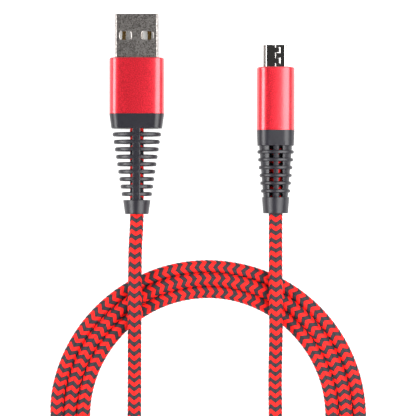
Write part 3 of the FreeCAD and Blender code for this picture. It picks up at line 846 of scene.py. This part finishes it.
seam_line = [(0.0, small_high.y + MM)]
for tab_start in TAB_STARTS:
    near = small_high.y - tab_start
    far = near - TAB_LENGTH
    seam_line += [(0.0, near), (TAB_WIDTH, near), (TAB_WIDTH, far), (0.0, far)]
seam_line.append((0.0, small_low.y + MM))
for (x_a, y_a), (x_b, y_b) in zip(seam_line, seam_line[1:]):
    cut(phone_shell, seam_slot(small_middle.x + x_a, y_a, small_middle.x + x_b, y_b))
for side in (-1, 1):
    hook_x = small_middle.x + side * HOOK_X
    hook_y = small_high.y - HOOK_BACK
    half_w, half_l = HOOK_WINDOW[0] / 2, HOOK_WINDOW[1] / 2
    cut(phone_shell, cube("hook_window", (hook_x - half_w, hook_y - half_l, small_low.z - MM),
                          (hook_x + half_w, hook_y + half_l, small_middle.z)))
apply(phone_shell, "BEVEL", width=SMALL_EDGE, segments=2, limit_method="ANGLE",
      angle_limit=SHARP_ANGLE, use_clamp_overlap=False)
finish_piece(phone_shell, "phone_plug", "phone_shell", bright_nickel, SHELL_SMOOTHING)

# %% [markdown]
# A boot keeps the cord from folding at the plug. It is soft rubber, cast round the cord in
# one shot: a solid block that meets the sleeve, ribs that let it bend, and a collar. Each
# rib is a drum with its rim rounded. The wide boot is open at its sides, with a spine above
# and below. The small one has a core with windows in it.


# %% Pieces of a boot
TENON = 1.5 * MM                        # the block's end that goes inside the sleeve
RIM_ROUNDING = 0.36                     # a rib's rounding as a share of its thickness
TENON_AREA = 30 * MM * MM               # the inset face is larger than this, its rim's faces smaller
ROUND_SIDES = 72
BORE_DEPTH = 3 * MM                     # past the sleeve's back end
BORE_SIDES = 48
BLOCK_ROUNDING = 0.18 * MM
SPINE_ROUNDING = 0.3 * MM
COLLAR_ROUNDING = 0.2 * MM


def rib_set(name, centre, first_y, count, pitch, thickness, back_size, front_size):
    """Elliptical ribs with rounded rims, in one mesh."""
    made = []
    for i in range(count):
        share = i / (count - 1)
        width = (back_size[0] + (front_size[0] - back_size[0]) * share) * MM
        height = (back_size[1] + (front_size[1] - back_size[1]) * share) * MM
        y = first_y + i * pitch
        rib = drum(name, centre, y, y + thickness, width, height, ROUND_SIDES)
        edit(rib, "edges", lambda e: not runs_along_y(e), bpy.ops.mesh.bevel,
             offset=RIM_ROUNDING * thickness, segments=4)
        made.append(rib)
    pick_out(made[0])
    for rib in made:
        rib.select_set(True)
    bpy.ops.object.join()
    return made[0]


def boot_block(name, centre, y_back, y_front, back_size, front_size, corner):
    """The block that meets the sleeve, with a smaller end that goes inside it."""
    half = Vector((front_size[0] / 2, 0, front_size[1] / 2)) * MM
    low = Vector((centre.x, y_back, centre.z)) - half
    high = Vector((centre.x, y_front, centre.z)) + half
    piece = cube(name, low, high)
    edit(piece, "edges", runs_along_y, bpy.ops.mesh.bevel, offset=corner, segments=12)
    ratio = (back_size[0] / front_size[0], 1.0, back_size[1] / front_size[1])
    edit(piece, "verts", lambda v: abs(v.co.y - y_back) < SAME_PLACE, bpy.ops.transform.resize,
         value=ratio, center_override=(centre.x, y_back, centre.z))
    edit(piece, "edges", at_y(y_back), bpy.ops.mesh.bevel, offset=BLOCK_ROUNDING, segments=3)
    edit(piece, "faces", faces_y(y_front), bpy.ops.mesh.inset, thickness=SLEEVE_WALL * 1.1)
    edit(piece, "faces", lambda f: faces_y(y_front)(f) and f.calc_area() > TENON_AREA
         and abs(middle_of(f).x - centre.x) < 10 * SAME_PLACE, bpy.ops.mesh.extrude_region_move,
         TRANSFORM_OT_translate={"value": (0, TENON, 0)})
    return piece


def collar(name, centre, y_start, y_end, d_start, d_end):
    """The round end that grips the cord."""
    piece = drum(name, centre, y_start, y_end, d_end * MM, d_end * MM, ROUND_SIDES)
    share = d_start / d_end
    edit(piece, "verts", lambda v: abs(v.co.y - y_start) < SAME_PLACE, bpy.ops.transform.resize,
         value=(share, 1, share), center_override=(centre.x, y_start, centre.z))
    return edit(piece, "edges", lambda e: not runs_along_y(e) and at_y(e.verts[0].co.y)(e),
                bpy.ops.mesh.bevel, offset=COLLAR_ROUNDING, segments=3)


def bore(boot, exit_point, sleeve_back):
    """The hole that the cord runs in."""
    cut(boot, drum("bore", exit_point, exit_point.y - MM, sleeve_back + BORE_DEPTH,
                   CORD_DIAMETER, CORD_DIAMETER, BORE_SIDES))


print("the boot helpers are ready")


# %% The wide boot
HOST_RIBS = {
    "count": 9, "pitch": 2.05 * MM, "thickness": 1.14 * MM,
    "back_size": (8.4, 7.1), "front_size": (13.35, 7.5),
}
HOST_BLOCK_SHAPE = {"back_size": (13.9, 7.5), "front_size": (15.04, 7.74), "corner": 2.57 * MM}
HOST_COLLAR_WIDTHS = (6.5, 7.6)
HOST_COLLAR = 3.9 * MM
HOST_RIB_GAP = 1.06 * MM
HOST_BLOCK = 4.0 * MM
HOST_SPINE = 2.15 * MM
HOST_SPINE_HIGH = 3.68 * MM             # from the middle, where it meets the block
HOST_SPINE_LOW = 3.47 * MM              # and where it meets the collar

sleeve_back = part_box("host_sleeve")[0].y
host_boot = boot_block("host_boot_rubber", HOST_EXIT, sleeve_back - HOST_BLOCK, sleeve_back,
                       **HOST_BLOCK_SHAPE)
host_ribs = rib_set("host_ribs", HOST_EXIT, HOST_EXIT.y + HOST_COLLAR + HOST_RIB_GAP, **HOST_RIBS)
host_spine = cube(
    "host_spine",
    (HOST_EXIT.x - HOST_SPINE / 2, HOST_EXIT.y + HOST_COLLAR - MM, HOST_EXIT.z - HOST_SPINE_HIGH),
    (HOST_EXIT.x + HOST_SPINE / 2, sleeve_back - HOST_BLOCK + MM, HOST_EXIT.z + HOST_SPINE_HIGH))
edit(host_spine, "verts", lambda v: v.co.y < HOST_EXIT.y + HOST_COLLAR, bpy.ops.transform.resize,
     value=(1, 1, HOST_SPINE_LOW / HOST_SPINE_HIGH), center_override=tuple(HOST_EXIT))
edit(host_spine, "edges", runs_along_y, bpy.ops.mesh.bevel, offset=SPINE_ROUNDING, segments=4)
host_collar = collar("host_collar", HOST_EXIT, HOST_EXIT.y, HOST_EXIT.y + HOST_COLLAR,
                     *HOST_COLLAR_WIDTHS)
weld(host_boot, host_spine, host_ribs, host_collar)
bore(host_boot, HOST_EXIT, sleeve_back)
print("the wide boot has", HOST_RIBS["count"], "ribs")

# %% The small boot
PHONE_RIBS = {
    "count": 6, "pitch": 2.15 * MM, "thickness": 0.98 * MM,
    "back_size": (8.1, 7.2), "front_size": (10.1, 7.5),
}
PHONE_BLOCK_SHAPE = {"back_size": (10.05, 7.5), "front_size": (10.39, 7.74), "corner": 3.17 * MM}
PHONE_COLLAR_WIDTHS = (6.9, 7.6)
PHONE_COLLAR = 4.5 * MM
PHONE_RIB_GAP = 1.18 * MM
PHONE_BLOCK = 4.26 * MM
POST = 1.35 * MM
BOOT_WINDOW = 1.22 * MM
CORE_OVERLAP = 0.5 * MM                 # the core runs into the block and the collar
CORE_FRONT = (9.2 * MM, 6.7 * MM)
CORE_BACK = (6.7 * MM, 6.1 * MM)

sleeve_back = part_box("phone_sleeve")[0].y
phone_boot = boot_block("phone_boot_rubber", PHONE_EXIT, sleeve_back - PHONE_BLOCK, sleeve_back,
                        **PHONE_BLOCK_SHAPE)
core_start = PHONE_EXIT.y + PHONE_COLLAR - CORE_OVERLAP
phone_core = drum("phone_core", PHONE_EXIT, core_start, sleeve_back - PHONE_BLOCK + CORE_OVERLAP,
                  *CORE_FRONT, ROUND_SIDES)
edit(phone_core, "verts", lambda v: abs(v.co.y - core_start) < SAME_PLACE, bpy.ops.transform.resize,
     value=(CORE_BACK[0] / CORE_FRONT[0], 1, CORE_BACK[1] / CORE_FRONT[1]),
     center_override=(PHONE_EXIT.x, core_start, PHONE_EXIT.z))
for side in (-1, 1):
    slot_middle = PHONE_EXIT.x + side * (POST + BOOT_WINDOW) / 2
    cut(phone_core, cube("boot_window",
                         (slot_middle - BOOT_WINDOW / 2, PHONE_EXIT.y, PHONE_EXIT.z - 5 * MM),
                         (slot_middle + BOOT_WINDOW / 2, sleeve_back, PHONE_EXIT.z + 5 * MM)))
phone_ribs = rib_set("phone_ribs", PHONE_EXIT, PHONE_EXIT.y + PHONE_COLLAR + PHONE_RIB_GAP, **PHONE_RIBS)
phone_collar = collar("phone_collar", PHONE_EXIT, PHONE_EXIT.y, PHONE_EXIT.y + PHONE_COLLAR,
                      *PHONE_COLLAR_WIDTHS)
weld(phone_boot, phone_core, phone_ribs, phone_collar)
bore(phone_boot, PHONE_EXIT, sleeve_back)
print("the small boot has", PHONE_RIBS["count"], "ribs")

# %% [markdown]
# The boots get the rubber finish, and their meshes and the cord's ends inside them are
# baked where they stand.

# %% Finishing the boots
finish_piece(host_boot, None, "host_boot", rubber)
finish_piece(phone_boot, None, "phone_boot", rubber)
for piece, end_piece, exit_point, plug, collar_length, block_start in (
    (host_boot, host_cord_end, HOST_EXIT, "host_plug", HOST_COLLAR,
     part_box("host_sleeve")[0].y - HOST_BLOCK),
    (phone_boot, phone_cord_end, PHONE_EXIT, "phone_plug", PHONE_COLLAR,
     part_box("phone_sleeve")[0].y - PHONE_BLOCK),
):
    start = (exit_point.x, exit_point.y + collar_length, exit_point.z)
    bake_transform(piece)
    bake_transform(end_piece)
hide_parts("cord_end_host")
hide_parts("cord_end_phone")

# %% What the cord is
PHONE_PIECES = [phone_boot, phone_sleeve, phone_shell, phone_cord_end]
PHONE_PIECES += [piece for name, piece in nodes.items()
                 if name.startswith("phone_") and not piece.hide_render]
print(len(PHONE_PIECES), "pieces go with the cord")

# %% [markdown]
# The table is white and evenly lit, so it nearly disappears. Two long soft lights lie left
# and right of the cable and draw a bright band down each rounded edge. Straight above it is
# darker, where the camera stands, and flat metal shows that as grey.

# %% Table and light
bpy.ops.object.select_all(action="DESELECT")
bpy.ops.mesh.primitive_plane_add(size=3, location=(LOOK_AT.x, LOOK_AT.y, -0.02 * MM))
table = bpy.context.object
table.name = "white_table"
table_finish = Finish("white_table", (0.35, 0.35, 0.35), roughness=0.9, specular_ior_level=0.1)
table_finish.set("Emission Color", (1.0, 1.0, 1.0, 1.0))
table_finish.set("Emission Strength", 0.95)
table_finish.paint(table)


def soft_light(name, place, width, length, power):
    """A long soft light beside the cable that faces its middle."""
    lamp = bpy.data.lights.new(name, "AREA")
    lamp.shape = "RECTANGLE"
    lamp.size, lamp.size_y = length, width
    lamp.energy = power
    holder = bpy.data.objects.new(name, lamp)
    holder.location = LOOK_AT + Vector(place)
    holder.visible_camera = False
    holder.rotation_euler = (-Vector(place)).to_track_quat("-Z", "Y").to_euler()
    bpy.context.scene.collection.objects.link(holder)
    return holder


soft_light("left_light", place=(-0.385, -0.01, 0.30), width=0.24, length=0.7, power=4.0)
soft_light("right_light", place=(0.14, -0.01, 0.185), width=0.19, length=0.5, power=1.6)
print("two lights and a white table")

# %% The room around the table
SKY = [(0.45, 0.9), (0.97, 0.11)]       # height of a direction, and the room's brightness there
SKY_STRENGTH = 0.45

world = bpy.data.worlds.new("studio")
bpy.context.scene.world = world
world.use_nodes = True
tree = world.node_tree
direction = tree.nodes.new("ShaderNodeTexCoord")
split = tree.nodes.new("ShaderNodeSeparateXYZ")
ramp = tree.nodes.new("ShaderNodeValToRGB")
for stop, (height, brightness) in zip(ramp.color_ramp.elements, SKY):
    stop.position = height
    stop.color = (brightness, brightness, brightness, 1)
tree.links.new(direction.outputs["Generated"], split.inputs[0])
tree.links.new(split.outputs["Z"], ramp.inputs["Fac"])
tree.links.new(ramp.outputs["Color"], tree.nodes["Background"].inputs["Color"])
tree.nodes["Background"].inputs["Strength"].default_value = SKY_STRENGTH
bpy.context.scene.view_settings.view_transform = "Standard"
print("the room is", SKY[0][1], "bright at the sides and", SKY[1][1], "above")
